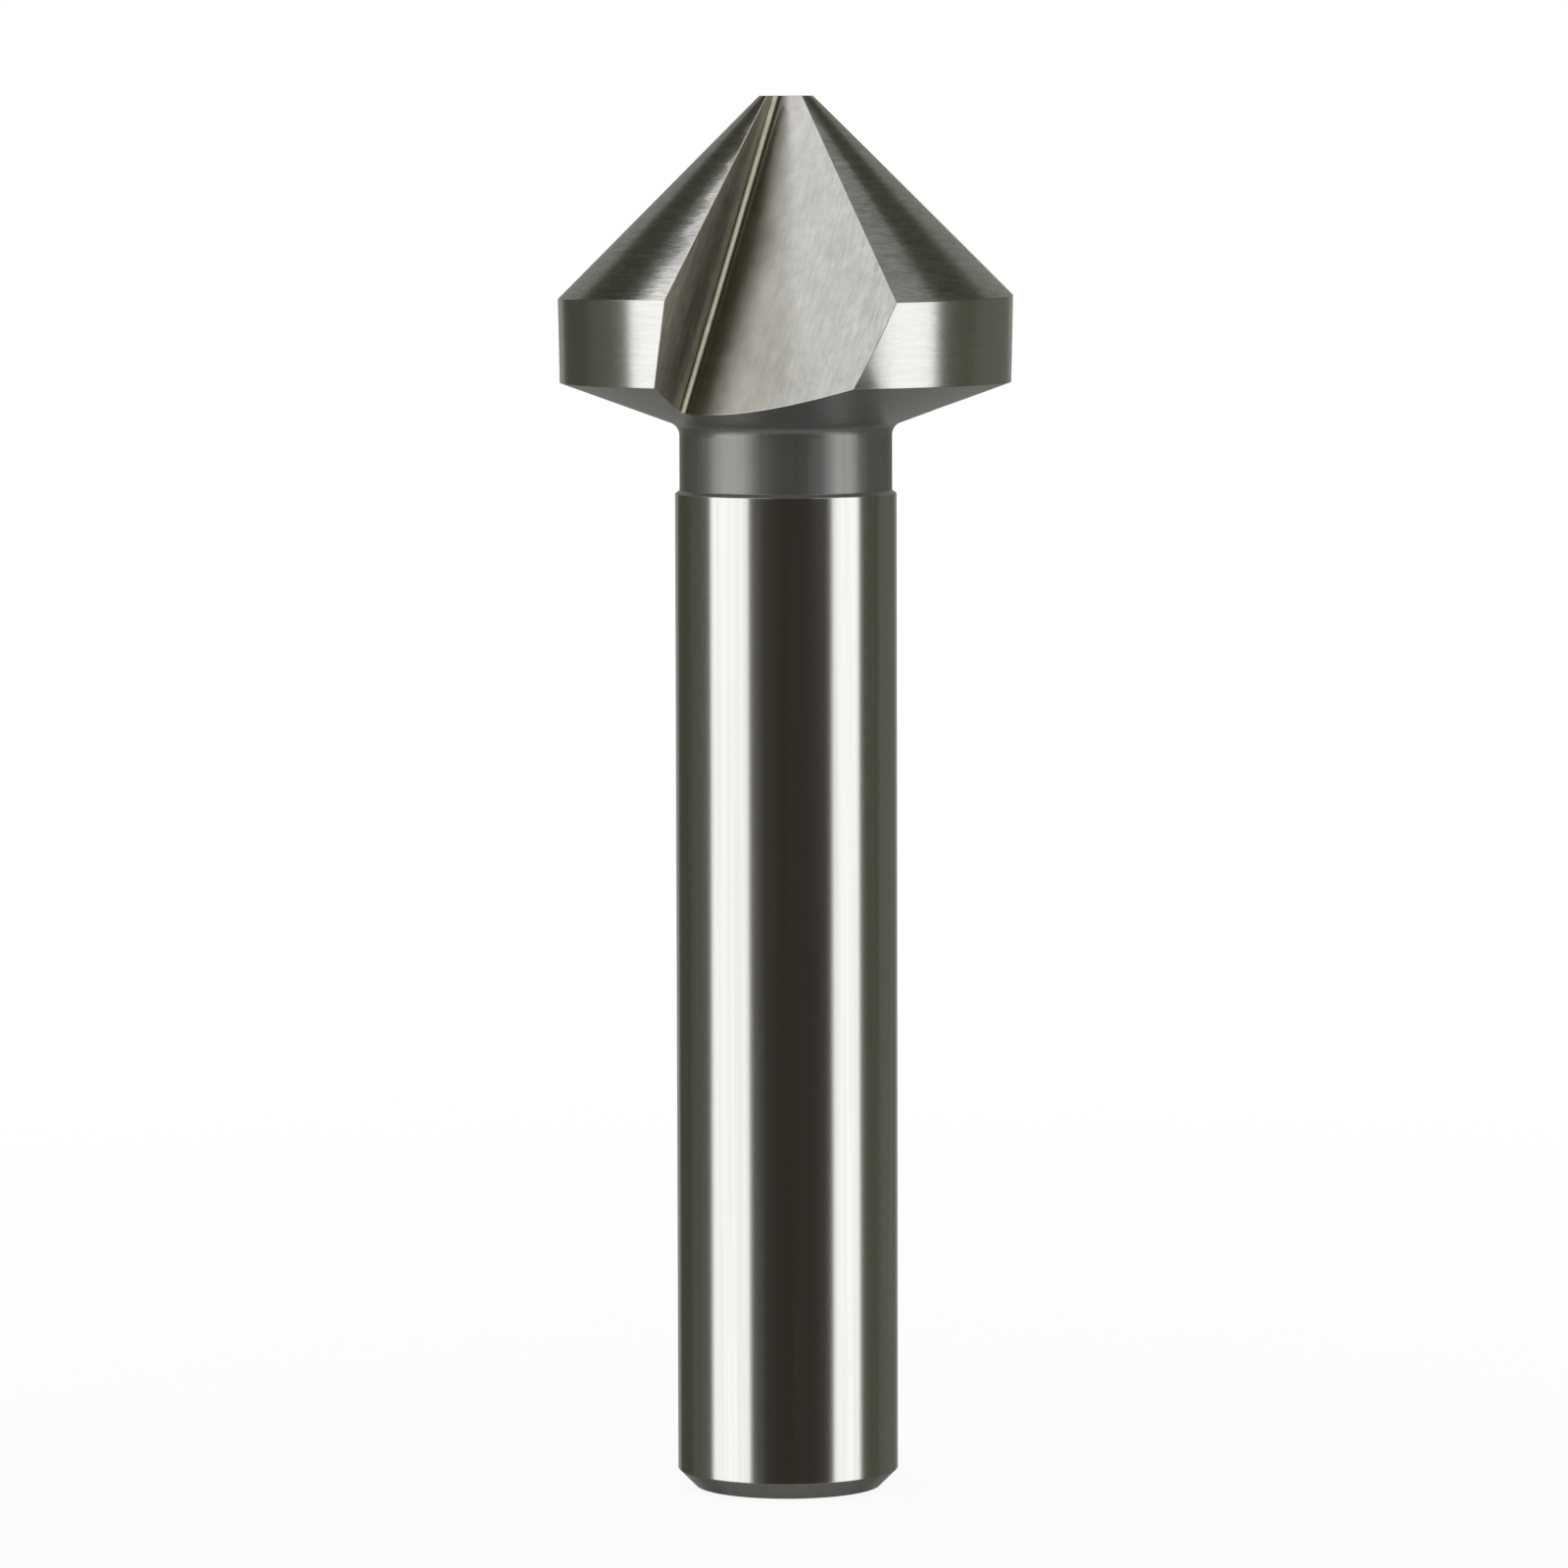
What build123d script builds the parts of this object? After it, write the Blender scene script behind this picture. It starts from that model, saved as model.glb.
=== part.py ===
from build123d import *
from math import acos, atan2, cos, degrees, hypot, radians, sin, tan
import os

# Ninety degree countersink bit with three flutes, ground from one bar of tool steel.
# Millimetres. The origin is the centre of the shank's end face and +Z runs along the
# axis to the tip. Headings are degrees about +Z, anticlockwise from +X as seen from the
# tip, which is the way the bit turns when it cuts.

# Whole bit
overall_length = 63.0      # shank end to the small flat at the tip

# Head
head_diameter = 20.5       # across the top of the cylindrical band
point_angle = 90.0         # included angle of the cutting cone
tip_flat_diameter = 2.6
band_height = 3.91
band_taper = 0.07          # radius that the band loses towards the shank
underside_slope = 20.0     # shallow cone under the head, from level

# Neck
neck_diameter = 9.6
neck_length = 2.9          # shoulder to the corner under the head, before its fillet
neck_fillet = 0.6

# Shank
shank_diameter = 10.0
shoulder_height = 0.15     # bevel from the neck out to the shank
end_chamfer = 0.8

# Flutes: straight V grooves, each with a rake face and a back face
flute_count = 3
flute_heading = 228.9      # way in which the first flute's root runs outward
flute_slope = 24.3         # between a root and the axis
root_depth = 0.31          # from the axis out to the root, at the tip
root_setback = 0.3         # from the axis back to the root, against the cutting direction
root_radius = 0.45
rake_lean = 21.6           # rake face from the outward direction, towards the cut
flute_angle = 72.8         # from the rake face round to the back face

# Lands: each is ground about an axis a little forward of the bit's own
land_relief = 0.17

# What follows from the sizes above
head_radius = head_diameter / 2
tip_radius = tip_flat_diameter / 2
neck_radius = neck_diameter / 2
shank_radius = shank_diameter / 2
band_low_radius = head_radius - band_taper
cone_spread = tan(radians(point_angle / 2))
cone_base_z = overall_length - (head_radius - tip_radius) / cone_spread
band_low_z = cone_base_z - band_height
neck_top_z = band_low_z - (band_low_radius - neck_radius) * tan(radians(underside_slope))
neck_low_z = neck_top_z - neck_length
shank_top_z = neck_low_z - shoulder_height
pitch = 360 / flute_count
clear_radius = 2 * head_diameter  # outside the head from any point within it


def toward(heading):
    """Level unit vector."""
    return Vector(cos(radians(heading)), sin(radians(heading)), 0)


def turned_bar():
    """Shank, neck, underside and band, with plain bar standing where the cone will be."""
    bar_top_z = overall_length + tip_radius
    with BuildPart() as bar:
        with BuildSketch(Plane.XZ) as half_section:
            with BuildLine():
                Polyline(
                    (0, 0),
                    (shank_radius - end_chamfer, 0),
                    (shank_radius, end_chamfer),
                    (shank_radius, shank_top_z),
                    (neck_radius, neck_low_z),
                    (neck_radius, neck_top_z),
                    (band_low_radius, band_low_z),
                    (head_radius, cone_base_z),
                    (head_radius, bar_top_z),
                    (0, bar_top_z),
                    close=True,
                )
            make_face()
            neck_corner = (neck_radius, neck_top_z)
            fillet(half_section.vertices().sort_by_distance(neck_corner)[0], neck_fillet)
        revolve(axis=Axis.Z)
    return bar.part


def first_flute_plane():
    """Plane square to the first root at the tip: X outward, Y towards the cut."""
    outward = toward(flute_heading)
    slope = radians(flute_slope)
    root = outward * root_depth - toward(flute_heading + 90) * root_setback
    return Plane(
        origin=root + Vector(0, 0, overall_length),
        x_dir=outward * cos(slope) + Vector(0, 0, sin(slope)),
        z_dir=Vector(0, 0, cos(slope)) - outward * sin(slope),
    )


def first_flute():
    """Wheel's sweep through the first flute, running out past the underside."""
    rake = toward(rake_lean) * clear_radius
    back = toward(rake_lean + flute_angle) * clear_radius
    with BuildPart() as sweep_path:
        with BuildSketch(first_flute_plane()) as section:
            with BuildLine():
                Polyline((0, 0), (rake.X, rake.Y), (back.X, back.Y), close=True)
            make_face()
            fillet(section.vertices().sort_by_distance((0, 0, 0))[0], root_radius)
        extrude(amount=clear_radius, both=True)
    return sweep_path.part


def first_edge_heading():
    """Heading at which the first rake face meets the rim where cone and band join."""
    plane = first_flute_plane()
    lean = radians(rake_lean)
    normal = plane.y_dir * cos(lean) - plane.x_dir * sin(lean)
    level = hypot(normal.X, normal.Y)
    offset = (normal.dot(plane.origin) - normal.Z * cone_base_z) / level
    return degrees(atan2(normal.Y, normal.X) - acos(offset / head_radius))


def first_land_waste():
    """What is ground off behind the first cutting edge, deepest at the heel."""
    edge = first_edge_heading()
    foot_z = overall_length - (clear_radius - tip_radius) / cone_spread
    cone = Cone(
        clear_radius,
        tip_radius,
        overall_length - foot_z,
        align=(Align.CENTER, Align.CENTER, Align.MIN),
    )
    shift = toward(edge + 90) * land_relief
    sector = Cylinder(clear_radius, overall_length, arc_size=pitch, align=None)
    sector_start = edge + pitch / 4 - pitch  # within the flutes on both sides of the land
    in_place = Pos(0, 0, band_low_z) * Rot(0, 0, sector_start) * sector
    return in_place - Pos(shift.X, shift.Y, foot_z) * cone


def countersink_bit():
    """Turned bar with the lands and the flutes ground into it."""
    bit = turned_bar()
    waste = first_land_waste()
    flute = first_flute()
    turns = [Rot(0, 0, pitch * i) for i in range(flute_count)]
    return bit - [turn * waste for turn in turns] - [turn * flute for turn in turns]


os.makedirs("parts", exist_ok=True)
export_step(countersink_bit(), "parts/countersink_bit.step")
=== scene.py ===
from math import cos, pi, radians, sin, tan

import bmesh
import bpy
from mathutils import Euler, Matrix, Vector


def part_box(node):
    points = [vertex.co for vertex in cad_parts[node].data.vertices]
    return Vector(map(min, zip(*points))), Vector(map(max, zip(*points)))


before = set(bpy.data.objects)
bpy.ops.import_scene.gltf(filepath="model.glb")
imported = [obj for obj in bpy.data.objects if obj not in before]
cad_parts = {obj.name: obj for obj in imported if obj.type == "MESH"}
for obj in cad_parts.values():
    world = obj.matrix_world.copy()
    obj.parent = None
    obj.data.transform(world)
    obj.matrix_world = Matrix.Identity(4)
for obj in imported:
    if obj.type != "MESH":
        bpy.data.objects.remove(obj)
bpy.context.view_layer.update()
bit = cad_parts["countersink_bit"]
scene = bpy.context.scene
perMetre = 1000  # millimetres, in which the steel's own sizes are
micrometre = 1e-6  # metres
print("frame loaded")


# Node helpers: each adds to a tree, and most give back the socket that comes out.
def addNode(tree, kind, inputs=None, **settings):
    node = tree.nodes.new("ShaderNode" + kind)
    for name, value in settings.items():
        setattr(node, name, value)
    for socket, value in (inputs or {}).items():
        if isinstance(value, bpy.types.NodeSocket):
            tree.links.new(value, node.inputs[socket])
        else:
            node.inputs[socket].default_value = value
    return node


def sums(tree, operation, *values, clamp=False):
    node = addNode(tree, "Math", dict(enumerate(values)), operation=operation, use_clamp=clamp)
    return node.outputs[0]


def vectorSums(tree, operation, *values):
    node = addNode(tree, "VectorMath", dict(enumerate(values)), operation=operation)
    return node.outputs["Value" if operation == "DOT_PRODUCT" else "Vector"]


def turnAboutAxis(tree, vector, angle):
    inputs = {"Vector": vector, "Angle": angle}
    return addNode(tree, "VectorRotate", inputs, rotation_type="Z_AXIS").outputs[0]


def noise(tree, vector, scale, detail, roughness=0.5):
    inputs = {"Vector": vector, "Scale": scale, "Detail": detail, "Roughness": roughness}
    return addNode(tree, "TexNoise", inputs).outputs[0]


def fade(tree, value, start, end, kind="LINEAR"):  # 0 at start, 1 at end
    inputs = {"Value": value, "From Min": start, "From Max": end}
    return addNode(tree, "MapRange", inputs, interpolation_type=kind).outputs["Result"]


def blendValue(tree, share, first, second):
    return addNode(tree, "Mix", {0: share, 2: first, 3: second}).outputs[0]


def blendVector(tree, share, first, second):
    return addNode(tree, "Mix", {0: share, 4: first, 5: second}, data_type="VECTOR").outputs[1]


def blendColour(tree, share, first, second, mode="MIX"):
    node = addNode(tree, "Mix", {0: share, 6: first, 7: second}, data_type="RGBA", blend_type=mode)
    return node.outputs[2]


def newGroup(name, inputs, outputs):
    tree = bpy.data.node_groups.new(name, "ShaderNodeTree")
    for socket, kind in inputs.items():
        tree.interface.new_socket(socket, in_out="INPUT", socket_type="NodeSocket" + kind)
    for socket, kind in outputs.items():
        tree.interface.new_socket(socket, in_out="OUTPUT", socket_type="NodeSocket" + kind)
    return tree, tree.nodes.new("NodeGroupInput").outputs, tree.nodes.new("NodeGroupOutput").inputs


def useGroup(tree, group, **inputs):
    return addNode(tree, "Group", inputs, node_tree=group).outputs


# Where each finish lies, in millimetres and degrees.
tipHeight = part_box("countersink_bit")[1][2] * perMetre

bitLayout = {
    "chamferTop": 0.8,  # heights up the axis
    "shankTop": 45.13,
    "neckBottom": 45.28,
    "bandBottom": 50.14,
    "bandTop": 54.05,
    "stepFade": 0.02,  # half the height in which one finish turns into the next
    "fluteCount": 3,
    "fluteHeading": 228.9,  # way in which the first root runs outward
    "fluteSlope": 24.3,  # between a root and the axis
    "rootDepth": 0.31,  # from the axis out to the root, at the tip
    "rootSetback": 0.3,  # and back from it, against the cut
    "rakeLean": 21.6,  # rake face from the outward way
    "fluteAngle": 72.8,  # from the rake face round to the back face
    "faceSlack": 0.025,  # how far off its plane a point of a face may lie
}


def fluteDirections():  # first root's top point, its way, and both faces' normals
    heading = radians(bitLayout["fluteHeading"])
    slope = radians(bitLayout["fluteSlope"])
    outward = Vector((cos(heading), sin(heading), 0))
    cutWay = Vector((-sin(heading), cos(heading), 0))
    root = outward * bitLayout["rootDepth"] - cutWay * bitLayout["rootSetback"]
    root.z = tipHeight
    along = Vector((0, 0, cos(slope))) - outward * sin(slope)
    across = outward * cos(slope) + Vector((0, 0, sin(slope)))
    side = along.cross(across)
    lean = radians(bitLayout["rakeLean"])
    backLean = lean + radians(bitLayout["fluteAngle"])
    rake = side * cos(lean) - across * sin(lean)
    back = across * sin(backLean) - side * cos(backLean)
    return root, along, rake, back


rootPoint, rootWay, rakeWay, backWay = fluteDirections()


def makeFluteArea():  # masks of one flute and of its rake face
    tree, given, out = newGroup(
        "fluteArea", {"Vector": "Vector", "Turn": "Float"}, {"Flute": "Float", "Rake": "Float"}
    )
    turned = turnAboutAxis(tree, given["Vector"], given["Turn"])
    fromRoot = vectorSums(tree, "SUBTRACT", turned, rootPoint)
    rakeGap = vectorSums(tree, "DOT_PRODUCT", fromRoot, rakeWay)
    backGap = vectorSums(tree, "DOT_PRODUCT", fromRoot, backWay)
    slack = bitLayout["faceSlack"]
    inside = sums(tree, "GREATER_THAN", sums(tree, "MINIMUM", rakeGap, backGap), -slack)
    onRake = sums(tree, "LESS_THAN", rakeGap, slack)
    tree.links.new(inside, out["Flute"])
    tree.links.new(sums(tree, "MULTIPLY", inside, onRake), out["Rake"])
    return tree


def aboveStep(tree, height, step, way=1):  # way -1 gives what is below it
    level = bitLayout[step]
    soft = way * bitLayout["stepFade"]
    return fade(tree, height, level - soft, level + soft)


def findPlaces(tree):  # a point's place on the bit, and masks from 0 to 1
    inMetres = addNode(tree, "TexCoord").outputs["Object"]
    spot = vectorSums(tree, "MULTIPLY", inMetres, (perMetre,) * 3)
    height = addNode(tree, "SeparateXYZ", {0: spot}).outputs["Z"]
    fluteArea = makeFluteArea()
    flute, rake = 0.0, 0.0
    fluteSpot = spot  # in a flute, the same place in the first one
    for i in range(bitLayout["fluteCount"]):
        turn = -2 * pi * i / bitLayout["fluteCount"]
        area = useGroup(tree, fluteArea, Vector=spot, Turn=turn)
        fluteSpot = blendVector(tree, area["Flute"], fluteSpot, turnAboutAxis(tree, spot, turn))
        flute = sums(tree, "MAXIMUM", flute, area["Flute"])
        rake = sums(tree, "MAXIMUM", rake, area["Rake"])
    head = aboveStep(tree, height, "bandBottom")
    aboveShank = aboveStep(tree, height, "neckBottom")
    neck = sums(tree, "SUBTRACT", aboveShank, head)  # and the underside
    notGround = sums(tree, "ADD", neck, aboveStep(tree, height, "chamferTop", -1))
    fromRoot = vectorSums(tree, "SUBTRACT", fluteSpot, rootPoint)
    return {
        "spot": spot,
        "height": height,
        "fluteSpot": fluteSpot,
        "fromRake": vectorSums(tree, "DOT_PRODUCT", fromRoot, rakeWay),
        "flute": flute,
        "rake": rake,
        "head": head,
        "cone": aboveStep(tree, height, "bandTop"),
        "shoulder": sums(tree, "SUBTRACT", aboveStep(tree, height, "shankTop"), aboveShank),
        "hard": sums(tree, "MULTIPLY", notGround, sums(tree, "SUBTRACT", 1.0, flute)),
    }


markNoise = {
    "fineDetail": 3.0,
    "fineRoughness": 0.7,
    "fineShare": 0.6,
    "broadSpacing": 3.0,  # in spacings of the fine marks
    "broadDetail": 1.0,
    "broadShare": 0.4,
    "toneRange": (0.32, 0.68),  # values of the mixed noise that give black and white
}


def makeGrindMarks():  # scratches: the vector comes squeezed along them
    tree, given, out = newGroup(
        "grindMarks", {"Vector": "Vector", "Spacing": "Float"}, {"Height": "Float", "Tone": "Float"}
    )
    scale = sums(tree, "DIVIDE", 1.0, given["Spacing"])
    broadScale = sums(tree, "DIVIDE", scale, markNoise["broadSpacing"])
    fine = noise(tree, given["Vector"], scale, markNoise["fineDetail"], markNoise["fineRoughness"])
    broad = noise(tree, given["Vector"], broadScale, markNoise["broadDetail"])
    mixed = sums(tree, "MULTIPLY", fine, markNoise["fineShare"])
    mixed = sums(tree, "MULTIPLY_ADD", broad, markNoise["broadShare"], mixed)
    tree.links.new(fine, out["Height"])
    tree.links.new(fade(tree, mixed, *markNoise["toneRange"]), out["Tone"])
    return tree


# One material: ground steel, with a hardened grey on the neck, the underside and the end.
steelFinish = {
    "groundColour": (0.58, 0.57, 0.55, 1),  # shank and band
    "coneColour": (0.66, 0.65, 0.63, 1),
    "fluteColour": (0.66, 0.65, 0.63, 1),
    "paintedLightColour": (0.84, 0.83, 0.8, 1),  # painted light: the back face lighter and warmer on its way to the root
    "paintedRootShade": (0.08, 0.073, 0.049, 1),  # painted shade beside the root, where the back face reflects the dark rake face
    "lineColour": (0.5, 0.48, 0.37, 1),  # the root's own narrow round, held out of the painted shade
    # the rake face's own finish, its colour raised above the steel's as painted light for the dark it
    # reflects
    "rakeColourWithPaintedLight": (1.0, 0.985, 0.9, 1),
    "hardColour": (0.265, 0.27, 0.255, 1),
    "shoulderColour": (0.22, 0.22, 0.21, 1),  # dull step above the shank
    "paintedLightReach": (3.0, 6.0),  # where the painted light is full and gone: distances from the rake face's plane
    "paintedLightGrowth": (0.2, -10.4),  # heights from the tip, where that reach is nothing and full
    # painted shade beside the root: distances from the rake face's plane, then heights from the tip
    "rootReach": (0.8, 2.9),
    "rootGrowth": (2.9, -6.6),
    "lineReach": (0.55, 0.2),  # where the line is gone and full
    "hardMetallic": 0.8,
    "shoulderMetallic": 0.2,
    "shankRoughness": 0.17,
    "bandRoughness": 0.2,
    "coneRoughness": 0.17,
    "fluteRoughness": 0.24,
    "rakeRoughness": 0.36,
    "hardRoughness": 0.33,
    "headSpacing": 0.055,  # millimetres between marks
    "fluteSpacing": 0.055,
    "rakeSpacing": 0.12,
    "ringSqueeze": 0.11,  # a mark's width over its length
    "fluteSqueeze": 0.12,
    "patchSpacing": 0.7,  # broad patches in the flutes
    "patchDetail": 3.0,
    "streakSpacing": 0.4,  # long faint streaks down the shank
    "streakDetail": 4.0,
    "streakSqueeze": 0.01,
    "waveRange": (0.3, 0.7),  # values of patches and streaks that give black and white
    "shankTone": 0.14,  # how much the marks darken the steel
    "bandTone": 0.12,
    "coneTone": 0.42,
    "fluteTone": 0.22,
    "patchTone": 0.16,
    "markReach": (1.5, 6.5),  # distances from the rake face's plane
    "markShare": (0.5, 1.3),  # and the back face's share of fluteTone at each
    "rakeShare": 2.2,
    "streakDepth": 0.9,  # bump heights, micrometres
    "bandDepth": 2.5,
    "coneDepth": 3.5,
    "fluteDepth": 2.5,
    "edgeRound": 0.00006,  # metres
    "edgeSamples": 6,
}


def makeMarks(tree, at):
    look = steelFinish
    grindMarks = makeGrindMarks()
    ringSpot = vectorSums(tree, "MULTIPLY", at["spot"], (look["ringSqueeze"], look["ringSqueeze"], 1))
    run = vectorSums(tree, "DOT_PRODUCT", at["fluteSpot"], rootWay)
    squeezed = addNode(
        tree, "VectorMath", {0: rootWay * (1 - look["fluteSqueeze"]), "Scale": run}, operation="SCALE"
    )
    pathSpot = vectorSums(tree, "SUBTRACT", at["fluteSpot"], squeezed.outputs[0])
    fluteSpacing = blendValue(tree, at["rake"], look["fluteSpacing"], look["rakeSpacing"])
    streakSpot = vectorSums(tree, "MULTIPLY", at["spot"], (1, 1, look["streakSqueeze"]))
    return {
        "head": useGroup(tree, grindMarks, Vector=ringSpot, Spacing=look["headSpacing"]),
        "flute": useGroup(tree, grindMarks, Vector=pathSpot, Spacing=fluteSpacing),
        "patches": noise(tree, at["fluteSpot"], 1 / look["patchSpacing"], look["patchDetail"]),
        "streaks": noise(tree, streakSpot, 1 / look["streakSpacing"], look["streakDetail"]),
    }


def byZone(tree, at, shank, head, flute):  # one value for each of the three
    return blendValue(tree, at["flute"], blendValue(tree, at["head"], shank, head), flute)


def fadeFromRoot(tree, at, growth, reach, kind="LINEAR"):  # 0 beside the root, 1 clear of the root's painted shade and light
    nothing, full = growth
    grown = fade(tree, at["height"], tipHeight + nothing, tipHeight + full)
    return fade(tree, sums(tree, "DIVIDE", at["fromRake"], grown), *reach, kind=kind)


def fluteColour(tree, at):
    look = steelFinish
    # painted light on the back face towards the root
    pastPaintedLight = fadeFromRoot(tree, at, look["paintedLightGrowth"], look["paintedLightReach"])
    # mask of the painted shade beside the root: 0 in it, 1 clear of it
    clear = fadeFromRoot(tree, at, look["rootGrowth"], look["rootReach"], "SMOOTHSTEP")
    onLine = fade(tree, at["fromRake"], *look["lineReach"])
    colour = blendColour(tree, pastPaintedLight, look["paintedLightColour"], look["fluteColour"])
    # painted shade beside the root
    colour = blendColour(tree, clear, look["paintedRootShade"], colour)
    colour = blendColour(tree, onLine, colour, look["lineColour"])
    # rake face, lightened by painted light
    return blendColour(tree, at["rake"], colour, look["rakeColourWithPaintedLight"])


def steelTone(tree, at, marks):  # how much light the marks leave, up to 1
    look = steelFinish
    streaks = fade(tree, marks["streaks"], *look["waveRange"])
    patches = fade(tree, marks["patches"], *look["waveRange"])
    headShare = blendValue(tree, at["cone"], look["bandTone"], look["coneTone"])
    backShare = blendValue(tree, fade(tree, at["fromRake"], *look["markReach"]), *look["markShare"])
    fluteShare = blendValue(tree, at["rake"], backShare, look["rakeShare"])
    fluteShare = sums(tree, "MULTIPLY", look["fluteTone"], fluteShare)
    shank = blendValue(tree, look["shankTone"], 1.0, streaks)
    head = blendValue(tree, headShare, 1.0, marks["head"]["Tone"])
    flute = blendValue(tree, fluteShare, 1.0, marks["flute"]["Tone"])
    patchy = blendValue(tree, look["patchTone"], 1.0, patches)
    return byZone(tree, at, shank, head, sums(tree, "MULTIPLY", flute, patchy))


def steelColour(tree, at, marks):
    look = steelFinish
    colour = blendColour(tree, at["cone"], look["groundColour"], look["coneColour"])
    colour = blendColour(tree, at["flute"], colour, fluteColour(tree, at))
    colour = blendColour(tree, at["hard"], colour, look["hardColour"])
    colour = blendColour(tree, at["shoulder"], colour, look["shoulderColour"])
    tone = steelTone(tree, at, marks)
    toneColour = addNode(tree, "CombineColor", {0: tone, 1: tone, 2: tone}).outputs[0]
    return blendColour(tree, 1.0, colour, toneColour, "MULTIPLY")


def steelRoughness(tree, at):
    look = steelFinish
    head = blendValue(tree, at["cone"], look["bandRoughness"], look["coneRoughness"])
    flute = blendValue(tree, at["rake"], look["fluteRoughness"], look["rakeRoughness"])
    ground = byZone(tree, at, look["shankRoughness"], head, flute)
    return blendValue(tree, at["hard"], ground, look["hardRoughness"])


def steelRelief(tree, at, marks):
    look = steelFinish
    headDepth = blendValue(tree, at["cone"], look["bandDepth"], look["coneDepth"])
    shank = sums(tree, "MULTIPLY", marks["streaks"], look["streakDepth"])
    head = sums(tree, "MULTIPLY", marks["head"]["Height"], headDepth)
    flute = sums(tree, "MULTIPLY", marks["flute"]["Height"], look["fluteDepth"])
    return byZone(tree, at, shank, head, flute)


def makeToolSteel():
    look = steelFinish
    steel = bpy.data.materials.new("toolSteel")
    steel.use_nodes = True
    tree = steel.node_tree
    shader = tree.nodes["Principled BSDF"]
    at = findPlaces(tree)
    marks = makeMarks(tree, at)
    metallic = blendValue(tree, at["hard"], 1.0, look["hardMetallic"])
    metallic = blendValue(tree, at["shoulder"], metallic, look["shoulderMetallic"])
    rounded = addNode(tree, "Bevel", {"Radius": look["edgeRound"]}, samples=look["edgeSamples"])
    bump = addNode(tree, "Bump", {
        "Height": steelRelief(tree, at, marks),
        "Strength": 1.0,
        "Distance": micrometre,
        "Normal": rounded.outputs[0],
    })
    tree.links.new(steelColour(tree, at, marks), shader.inputs["Base Color"])
    tree.links.new(steelRoughness(tree, at), shader.inputs["Roughness"])
    tree.links.new(metallic, shader.inputs["Metallic"])
    tree.links.new(bump.outputs[0], shader.inputs["Normal"])
    return steel


bit.material_slots[0].material = makeToolSteel()
print("steel on the bit")


# The studio, in metres. Azimuths are degrees from the camera's side, positive to its right.
studio = {
    "middle": 0.032,  # height that the soft boxes' elevations start from
    "wallRadius": 0.9,
    "wallTop": 1.0,
    "wallSteps": 12,
    "discSides": 64,
    "boards": {  # azimuths, bottom and top, colour: white shows between them
        "frontLowBoard": (-25, 48.8, -1, 0.12, (0.05, 0.043, 0.034)),
        "frontHighBoard": (-18, 30, 0.12, 1, (0.05, 0.043, 0.034)),
        "frontLeftLowBoard": (-39.5, -25, -1, 0.12, (0.09, 0.088, 0.08)),
        "frontLeftHighBoard": (-39.5, -18, 0.12, 1, (0.8, 0.79, 0.68)),
        "leftLowBoard": (-118, -85.2, -1, 0.12, (0.13, 0.13, 0.1)),
        "leftHighBoard": (-118, -97, 0.12, 1, (0.13, 0.13, 0.1)),
        "rearLeftLowBoard": (-153, -118, -1, 0.12, (0.09, 0.09, 0.066)),
        "rearLeftHighBoard": (-151, -118, 0.12, 1, (0.065, 0.065, 0.046)),
        "rearLowBoard": (158, 207, -0.55, 0.12, (0.34, 0.345, 0.32)),
        "rearLowestBoard": (158, 207, -1, -0.55, (0.17, 0.17, 0.15)),
        "rearHighBoard": (147.5, 209, 0.12, 1, (0.25, 0.26, 0.23)),
        "rearRightLowBoard": (112, 158, -1, 0.12, (0.16, 0.165, 0.135)),
        "rearRightHighBoard": (112, 147.5, 0.12, 1, (0.075, 0.077, 0.055)),
        "rightBoard": (81.7, 112, -1, 1, (0.11, 0.11, 0.08)),
    },
    "ceilingColour": (0.07, 0.07, 0.055),
    "underColour": (0.3, 0.3, 0.28),
}


def around(azimuth, distance, height):
    angle = radians(azimuth)
    return Vector((distance * sin(angle), -distance * cos(angle), height))


def glowMaterial(name, colour):
    glow = bpy.data.materials.new(name)
    glow.use_nodes = True
    tree = glow.node_tree
    tree.nodes.clear()
    light = addNode(tree, "Emission", {"Color": (*colour, 1), "Strength": 1.0}).outputs[0]
    addNode(tree, "OutputMaterial", {"Surface": light})
    glow.cycles.emission_sampling = "NONE"
    return glow


def stageObject(name, shape, material):
    mesh = bpy.data.meshes.new(name)
    shape.to_mesh(mesh)
    shape.free()
    mesh.materials.append(material)
    made = bpy.data.objects.new(name, mesh)
    scene.collection.objects.link(made)
    return made


def glowObject(name, shape, colour):  # only the metal's reflections see it
    made = stageObject(name, shape, glowMaterial(name, colour))
    made.visible_camera = False
    made.visible_diffuse = False
    made.visible_shadow = False
    made.visible_transmission = False


def makeBoard(name, fromAzimuth, toAzimuth, bottom, top, colour):
    shape = bmesh.new()
    ends = [shape.verts.new(around(fromAzimuth, studio["wallRadius"], z)) for z in (bottom, top)]
    edge = shape.edges.new(ends)
    span = radians(toAzimuth - fromAzimuth)
    bmesh.ops.spin(shape, geom=ends + [edge], axis=(0, 0, 1), cent=(0, 0, 0),
                   steps=studio["wallSteps"], angle=span)
    glowObject(name, shape, colour)


def makeDisc(name, height, colour):
    shape = bmesh.new()
    bmesh.ops.create_circle(shape, cap_ends=True, segments=studio["discSides"],
                            radius=studio["wallRadius"])
    bmesh.ops.translate(shape, verts=shape.verts, vec=(0, 0, height))
    glowObject(name, shape, colour)


for boardName, board in studio["boards"].items():
    makeBoard(boardName, *board)
makeDisc("ceilingBoard", studio["wallTop"], studio["ceilingColour"])
makeDisc("underBoard", -studio["wallTop"], studio["underColour"])
print("boards up")


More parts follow.
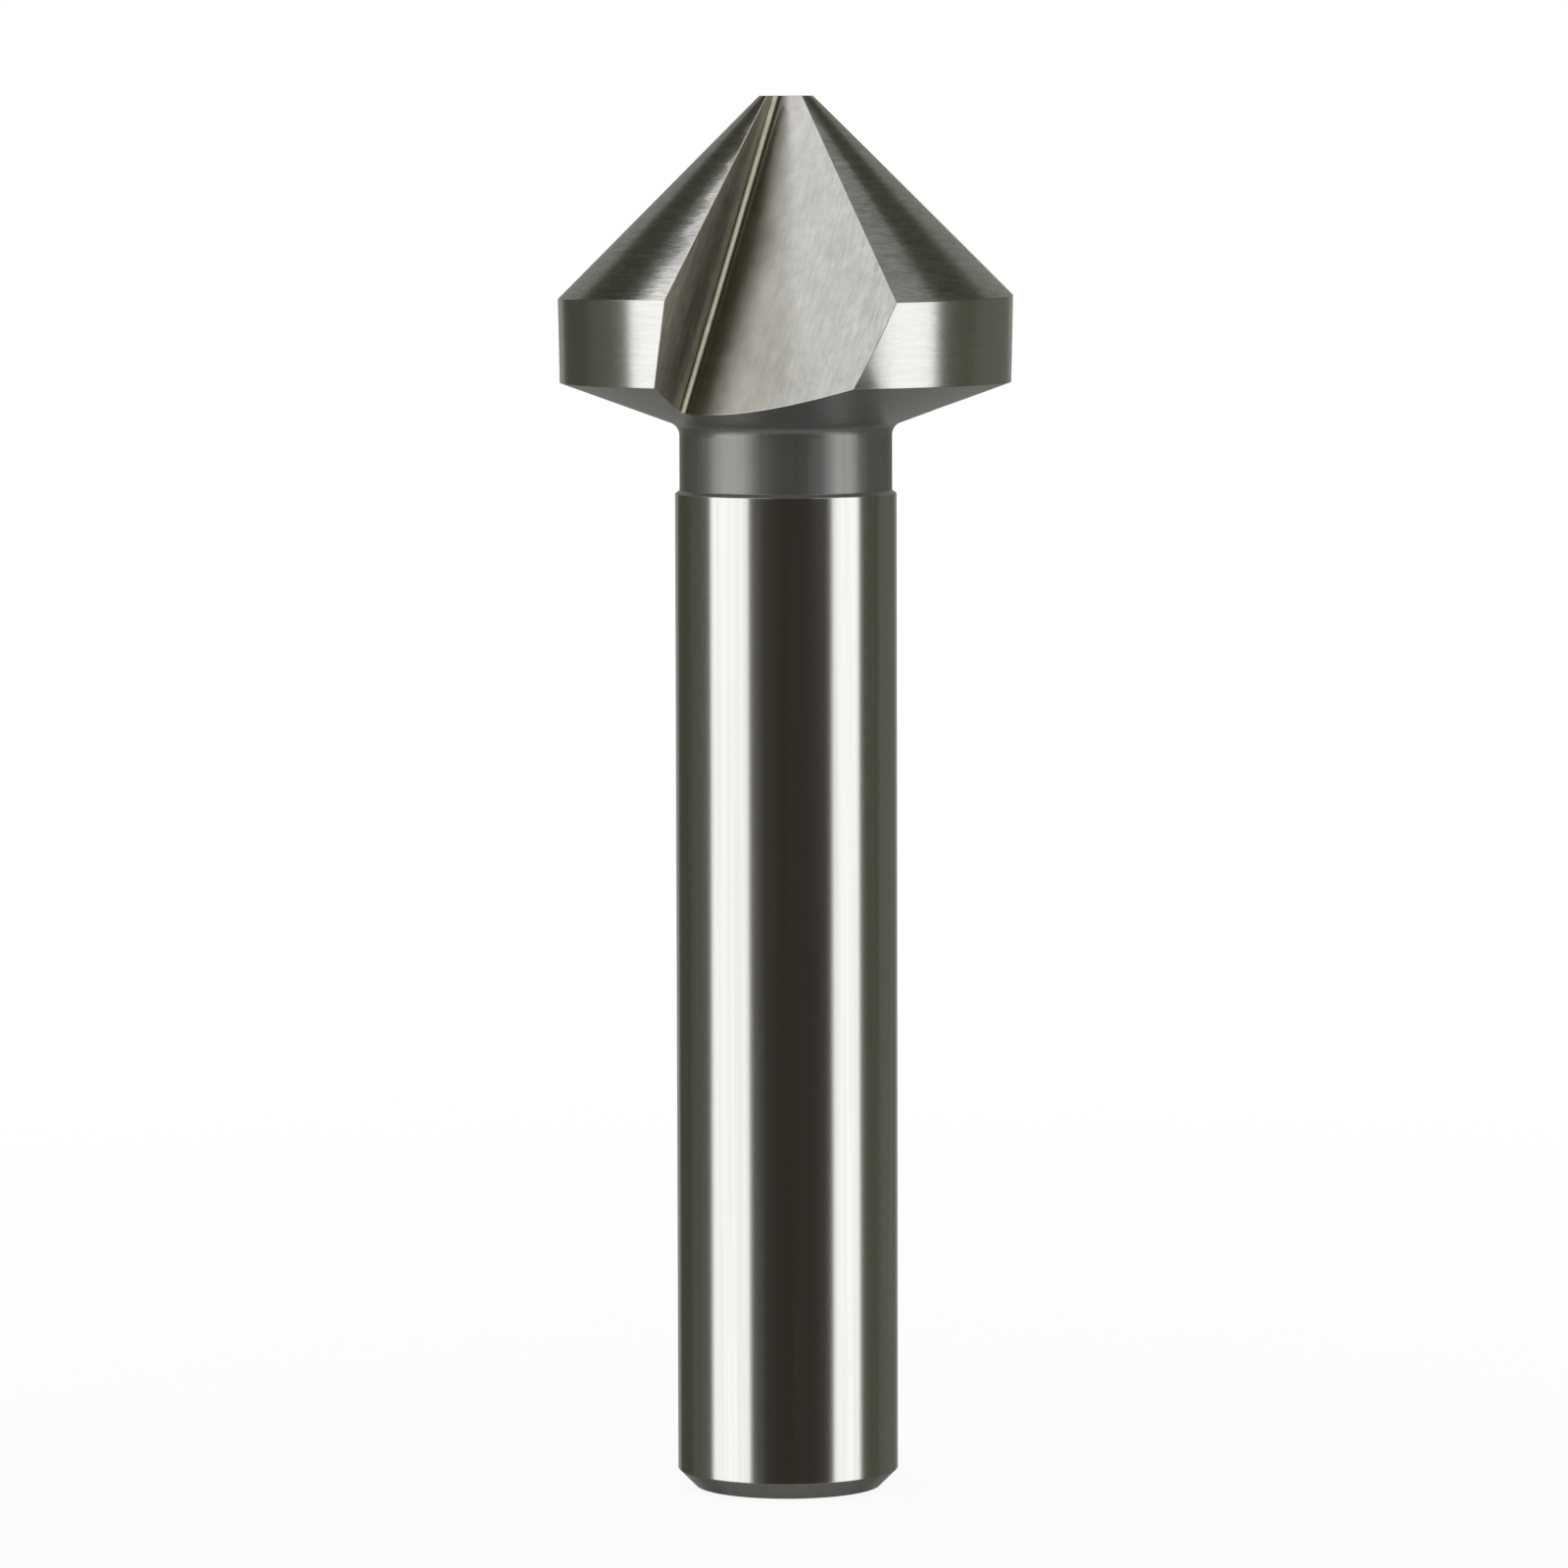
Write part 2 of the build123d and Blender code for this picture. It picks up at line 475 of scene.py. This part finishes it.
lampSettings = {
    "distance": 0.6,
    "boxes": {  # azimuths, elevations, brightness
        "leftBox": (-85.2, -39.5, -30, 5, 0.75),
        "leftHighBox": (-97, -39.5, 5, 44, 0.1),
        "rightBox": (48.8, 81.7, -30, 5, 0.75),
        "rightHighBox": (30, 81.7, 5, 44, 0.1),
    },
    "topHeight": 0.6,
    "topBoxes": {  # middle to the right and back, width, length, brightness
        "topLeftBox": (-0.225, 0.03, 0.45, 0.46, 1.35),
        "topRightBox": (0.225, 0.0375, 0.45, 0.475, 0.28),
    },
}


def makeLamp(name, spot, aim, width, height, brightness):
    lamp = bpy.data.lights.new(name, "AREA")
    lamp.shape = "RECTANGLE"
    lamp.size = width
    lamp.size_y = height
    lamp.energy = brightness * pi * width * height
    made = bpy.data.objects.new(name, lamp)
    scene.collection.objects.link(made)
    made.location = spot
    made.rotation_euler = (aim - spot).to_track_quat("-Z", "Y").to_euler()
    made.visible_camera = False


def makeSoftBox(name, fromAzimuth, toAzimuth, low, high, brightness):
    distance = lampSettings["distance"]
    width = 2 * distance * tan(radians(toAzimuth - fromAzimuth) / 2)
    bottom = studio["middle"] + distance * tan(radians(low))
    top = studio["middle"] + distance * tan(radians(high))
    spot = around((fromAzimuth + toAzimuth) / 2, distance, (bottom + top) / 2)
    makeLamp(name, spot, Vector((0, 0, spot.z)), width, top - bottom, brightness)


def makeTopBox(name, across, back, width, length, brightness):
    spot = Vector((across, back, lampSettings["topHeight"]))
    makeLamp(name, spot, Vector((across, back, 0)), width, length, brightness)


for boxName, box in lampSettings["boxes"].items():
    makeSoftBox(boxName, *box)
for boxName, box in lampSettings["topBoxes"].items():
    makeTopBox(boxName, *box)
print("lamps on")


worldSettings = {
    "colour": (1, 1, 1, 1),
    "lightStrength": 0.6,
    "shownStrength": 1.0,
}


def addShown(tree):  # 1 for rays from the camera, off gloss or through glass
    rays = addNode(tree, "LightPath").outputs
    shown = sums(tree, "ADD", rays["Is Camera Ray"], rays["Is Glossy Ray"])
    return sums(tree, "ADD", shown, rays["Is Transmission Ray"], clamp=True)


def makeWorld():
    world = bpy.data.worlds.new("studioWorld")
    world.use_nodes = True
    tree = world.node_tree
    background = tree.nodes["Background"]
    background.inputs["Color"].default_value = worldSettings["colour"]
    strength = blendValue(tree, addShown(tree), worldSettings["lightStrength"],
                          worldSettings["shownStrength"])
    tree.links.new(strength, background.inputs["Strength"])
    world.cycles.sampling_method = "NONE"
    scene.world = world


floorFinish = {
    "radius": 1.5,
    "sides": 96,
    "colour": (0.86, 0.86, 0.86, 1),
    "white": (1, 1, 1, 1),
    "clearFrom": 0.03,  # metres out, where the shadow starts to fade
    "clearTo": 0.16,
    "nearShare": 0.92,  # how much of the floor by the bit is plain white
}


def whiteFloor():
    paper = bpy.data.materials.new("whiteFloor")
    paper.use_nodes = True
    tree = paper.node_tree
    tree.nodes.clear()
    spot = addNode(tree, "TexCoord").outputs["Object"]
    out = addNode(tree, "VectorMath", {0: spot}, operation="LENGTH").outputs["Value"]
    far = fade(tree, out, floorFinish["clearFrom"], floorFinish["clearTo"])
    share = blendValue(tree, far, floorFinish["nearShare"], 1.0)
    share = sums(tree, "MULTIPLY", share, addShown(tree))
    matt = addNode(tree, "BsdfDiffuse", {"Color": floorFinish["colour"]}).outputs[0]
    white = addNode(tree, "Emission", {"Color": floorFinish["white"], "Strength": 1.0}).outputs[0]
    mixed = addNode(tree, "MixShader", {0: share, 1: matt, 2: white}).outputs[0]
    addNode(tree, "OutputMaterial", {"Surface": mixed})
    paper.cycles.emission_sampling = "NONE"
    return paper


def makeFloor():
    shape = bmesh.new()
    bmesh.ops.create_circle(shape, cap_ends=True, segments=floorFinish["sides"],
                            radius=floorFinish["radius"])
    floor = stageObject("floor", shape, whiteFloor())
    floor.visible_glossy = False
    floor.visible_shadow = False


makeWorld()
makeFloor()
print("floor and world")


cameraSettings = {
    "location": (-0.00004, -0.375, 0.06266),
    "tiltDown": 4.679,
    "roll": 0.14,
    "lens": 190.97,
    "sensor": 36.0,
    "clipStart": 0.01,
    "clipEnd": 10.0,
}


def makeCamera():
    camera = bpy.data.cameras.new("camera")
    camera.lens = cameraSettings["lens"]
    camera.sensor_width = cameraSettings["sensor"]
    camera.clip_start = cameraSettings["clipStart"]
    camera.clip_end = cameraSettings["clipEnd"]
    made = bpy.data.objects.new("camera", camera)
    made.location = cameraSettings["location"]
    tilt = radians(90 - cameraSettings["tiltDown"])
    made.rotation_euler = Euler((tilt, radians(cameraSettings["roll"]), 0))
    scene.collection.objects.link(made)
    scene.camera = made


makeCamera()
scene.view_settings.view_transform = "Standard"
print("camera set")
